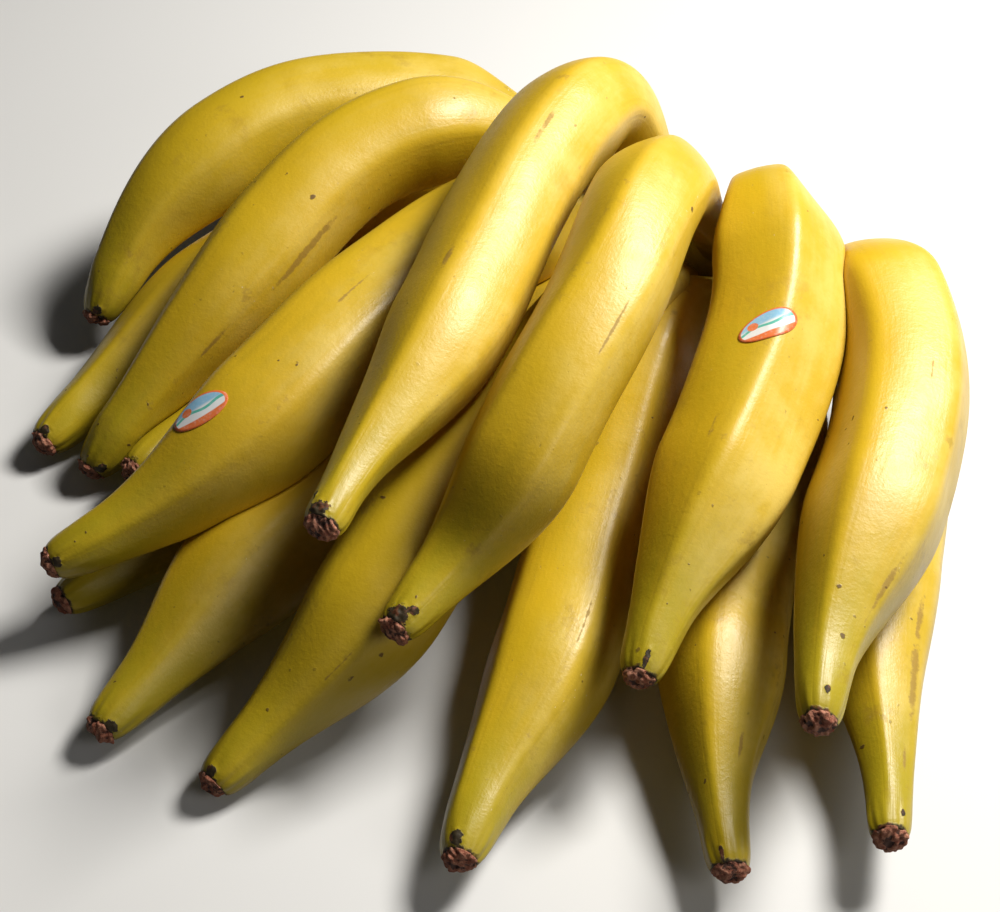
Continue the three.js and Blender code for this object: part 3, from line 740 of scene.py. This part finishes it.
def makeCrown():
    # a thick pad along the crown's curve, its section a rounded box, flat where it was cut from the stem
    s = crownSizes
    share = (1 - np.cos(np.linspace(0, math.pi, s["steps"]))) / 2
    share = 0.5 * share + 0.5 * np.linspace(0, 1, s["steps"])
    angles = np.linspace(0, 2 * math.pi, s["sides"], endpoint=False)
    along, around = np.meshgrid(share, angles, indexing="ij")
    plan, heading = crownPlace(along)
    back = np.stack([-heading[..., 1], heading[..., 0]], -1)
    size = np.sqrt(1 - 0.75 * np.abs(2 * along - 1) ** 6)
    depth = np.sign(np.cos(around)) * np.abs(np.cos(around)) ** 0.8
    height = np.sign(np.sin(around)) * np.abs(np.sin(around)) ** 0.8
    cut = smoothStep((depth - 0.55) / 0.2)
    depth = np.where(depth > 0.72, 0.72 + (depth - 0.72) * 0.25, depth)
    grid = np.concatenate([
        plan + back * (s["setback"] + depth * size * s["depth"] / 2)[..., None],
        (s["level"] + height * size * s["height"] / 2)[..., None]], -1)
    out = np.concatenate([back * depth[..., None], height[..., None]], -1)
    out /= np.maximum(np.linalg.norm(out, axis=-1, keepdims=True), 1e-6)
    flat = grid.reshape(-1, 3)
    collar = np.zeros(len(flat))
    for finger in fingers:
        away = finger.outside(flat)
        collar = np.maximum(collar, np.exp(-(np.maximum(away, 0) / 4.5) ** 2))
    collar = collar.reshape(around.shape) * (1 - cut)
    x, y, z = (grid[..., k] for k in range(3))
    rough = waves(x, y, z, 7, 24, 0.15, 0.5) * 0.7 + waves(x, y, z, 8, 30, 0.6, 1.6) * 0.25
    fibre = waves(x * 0.2, y * 0.2, z, 9, 24, 0.8, 2.4) * 0.35 * cut
    grid = grid + out * (collar * crownLook["collar"] + rough + fibre - 0.8)[..., None]
    attributes = {"cut": cut, "stalkSide": collar * 0.8 + 0.25 * (1 - depth)}
    makePiece("crownPad", grid, "crown", makeWood(), attributes)


makeCrown()
print("crown made")

stickerLook = {
    "long": 24.0,
    "wide": 12.5,
    "thick": 0.25,
    "lift": 0.12,
    "places": [("sticker_left", 3, 78, 250, 23), ("sticker_right", 6, 142, 236, 54)],
    "rim": (0.80, 0.17, 0.045),
    "field": (0.30, 0.58, 0.80),
    "pale": (0.86, 0.88, 0.88),
    "band": (0.82, 0.20, 0.06),
    "stripe": (0.12, 0.52, 0.42),
}


def makePaper():
    # an orange rim, a pale field with a blue sky above, a wavy green stripe and an orange foot
    board = Board("stickerPaper")
    look = stickerLook
    x, y = board.value("labelX"), board.value("labelY")
    wave = y + board.node("ShaderNodeMath", {"operation": "SINE"}, {0: x * 5.0 + 0.6}) * 0.10
    colour = board.mix(board.step(y, 0.10, 0.34), look["pale"], look["field"])
    stripe = board.step(wave, -0.05, 0.0) * (1 - board.step(wave, 0.14, 0.19))
    colour = board.mix(stripe, colour, look["stripe"])
    colour = board.mix(1 - board.step(y - x * x * 0.25, -0.52, -0.46), colour, look["band"])
    sun = (x + 0.42) * (x + 0.42) + (y - 0.34) * (y - 0.34) * 0.4
    colour = board.mix(1 - board.step(sun, 0.030, 0.040), colour, look["band"])
    rim = x * x + y * y
    colour = board.mix(board.step(rim, 0.78, 0.84), colour, look["rim"])
    worn = board.noise(900.0, 2.0)
    colour = board.mix(board.step(worn, 0.45, 0.75) * 0.18, colour, look["pale"])
    normal = board.bump(board.noise(160.0, 2.0), 0.0002, 0.5)
    return board.finish(colour, 0.34 + (worn - 0.5) * 0.1, normal)


paper = makePaper()


def makeSticker(name, number, alongFinger, aroundFinger, tilt):
    # an oval laid on the finger's skin: its edge turns down to the skin, its middle follows it
    look = stickerLook
    finger = fingers[number - 1]
    tilt = math.radians(tilt)
    girth = float(finger.radius(np.array(alongFinger, float)))
    top, edge, under = look["lift"] + look["thick"], (look["lift"] + look["thick"]) * 0.6, look["lift"]
    rings = [(0.05, top), (0.3, top), (0.6, top), (0.88, top), (0.99, top), (1.0, edge)]
    rings += [(0.99, under), (0.6, under), (0.05, under)]
    angles = np.linspace(0, 2 * math.pi, 96, endpoint=False)
    share, lift = (np.array(column)[:, None] + 0 * angles for column in zip(*rings))
    x, y = share * np.cos(angles), share * np.sin(angles)
    long, wide = x * look["long"] / 2, y * look["wide"] / 2
    along = alongFinger + long * math.cos(tilt) - wide * math.sin(tilt)
    around = math.radians(aroundFinger) + (long * math.sin(tilt) + wide * math.cos(tilt)) / girth
    points, centres = finger.skin(along, around, lift)
    makePiece("label_" + name, points, name, paper, {"labelX": x, "labelY": -y})


for place in stickerLook["places"]:
    makeSticker(*place)
print("stickers made")

stageLook = {
    "floor": (0.80, 0.80, 0.79),
    "floorShade": (0.75, 0.75, 0.75),
    "floorSize": 6.0,
    "lens": 85.0,
    "distance": 0.908,
    "elevation": 45.0,
    "aim": (0.0, 0.0, 50.0),
    "key": {"at": (0.53, 0.27, 0.80), "size": 0.32, "power": 15.0, "colour": (1.0, 0.97, 0.92)},
    "fill": {"at": (0.78, -0.72, 0.60), "size": 0.5, "power": 2.2, "colour": (1.0, 0.98, 0.95)},
    "world": 0.03,
}


def pointAt(thing, target):
    # a lamp or camera looks along its own -Z
    heading = Vector((target - np.array(thing.location)).tolist())
    thing.rotation_euler = heading.to_track_quat("-Z", "Y").to_euler()


def makeStage():
    # a pale floor, a small key light to the right and behind, a weak fill in front and a camera
    look = stageLook
    aim = (np.array(look["aim"]) + shift) * mm
    size = look["floorSize"]
    mesh = bpy.data.meshes.new("floor")
    corners = [(-size, -size, 0), (size, -size, 0), (size, size, 0), (-size, size, 0)]
    mesh.from_pydata(corners, [], [(0, 1, 2, 3)])
    floor = bpy.data.objects.new("floor", mesh)
    bpy.context.collection.objects.link(floor)
    board = Board("paleFloor")
    grain = board.noise(8.0, 2.0)
    colour = board.mix(grain * 0.06, look["floor"], look["floorShade"])
    mesh.materials.append(board.finish(colour, 0.85, board.bump(grain, 0.0001, 0.1)))
    floor.visible_diffuse = False  # the floor throws no light back up at the fruit

    for name in ("key", "fill"):
        light = bpy.data.lights.new(name, "AREA")
        light.energy, light.size = look[name]["power"], look[name]["size"]
        light.color = look[name]["colour"]
        lamp = bpy.data.objects.new(name, light)
        lamp.location = aim + np.array(look[name]["at"])
        bpy.context.collection.objects.link(lamp)
        pointAt(lamp, aim)

    world = bpy.data.worlds.new("studio")
    world.use_nodes = True
    sky = world.node_tree.nodes["Background"].inputs
    sky["Color"].default_value = (1, 1, 1, 1)
    sky["Strength"].default_value = look["world"]
    bpy.context.scene.world = world

    camera = bpy.data.cameras.new("camera")
    camera.lens, camera.sensor_width = look["lens"], 36.0
    eye = bpy.data.objects.new("camera", camera)
    tilt = math.radians(look["elevation"])
    eye.location = aim + look["distance"] * np.array([0, -math.cos(tilt), math.sin(tilt)])
    eye.rotation_euler = (math.pi / 2 - tilt, 0, 0)
    bpy.context.collection.objects.link(eye)
    bpy.context.scene.camera = eye
    bpy.context.scene.view_settings.view_transform = "Standard"


makeStage()
print("stage made")
